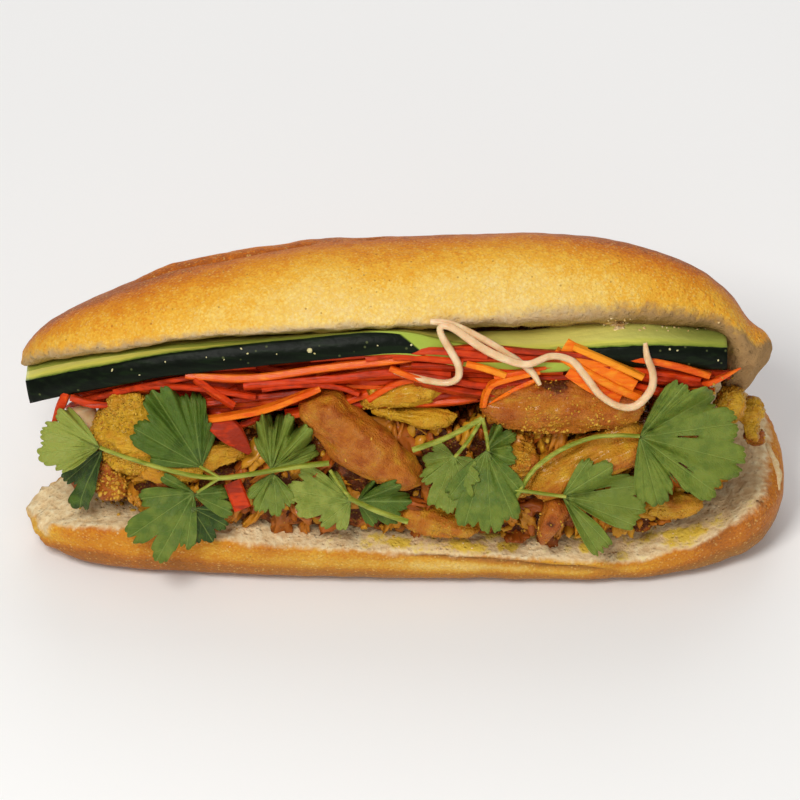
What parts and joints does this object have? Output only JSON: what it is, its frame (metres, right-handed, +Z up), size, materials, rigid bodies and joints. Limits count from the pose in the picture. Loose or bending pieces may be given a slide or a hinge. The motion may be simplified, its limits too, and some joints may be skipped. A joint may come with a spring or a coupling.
{
  "type": "banh mi sandwich",
  "caption": "Long crusty roll split along its front and packed with lemongrass chicken, carrot and pickled daikon strips, a long cucumber slice and cilantro.",
  "frame": {"origin": "middle of the sandwich's bounding box, at the height of the surface it lies on", "axes": "+X along the roll to the right as seen from the open front, -Y out of the open front, +Z up"},
  "size_m": [0.249, 0.0922, 0.1088],
  "materials": {
    "bread_crust": "baked crust, satin, paler along the cut, with soft white crumb inside",
    "cucumber": "dark green waxy skin along the edge, pale wet flesh on the cut faces",
    "carrot": "wet julienne, glossy in places",
    "chopped_chicken": "moist, grainy with lemongrass and turmeric",
    "chicken": "moist, browned, golden with turmeric",
    "daikon": "wet, translucent"
  },
  "bodies": {
    "root": {"bread": "bread_crust", "cucumber_slice": "cucumber", "carrot_strips": "carrot", "chicken_filling": "chopped_chicken", "daikon_strip_1": "daikon", "daikon_strip_2": "daikon", "daikon_slice_1": "daikon", "daikon_slice_2": "daikon", "chicken_piece_01": "chicken", "chicken_piece_02": "chicken", "chicken_piece_03": "chicken", "chicken_piece_04": "chicken", "chicken_piece_05": "chicken", "chicken_piece_06": "chicken", "chicken_piece_07": "chicken", "chicken_piece_08": "chicken", "chicken_piece_09": "chicken", "chicken_piece_10": "chicken", "chicken_piece_11": "chicken", "chicken_piece_12": "chicken", "chicken_piece_13": "chicken", "chicken_piece_14": "chicken", "chicken_piece_15": "chicken", "chicken_piece_16": "chicken"}
  },
  "joints": []
}
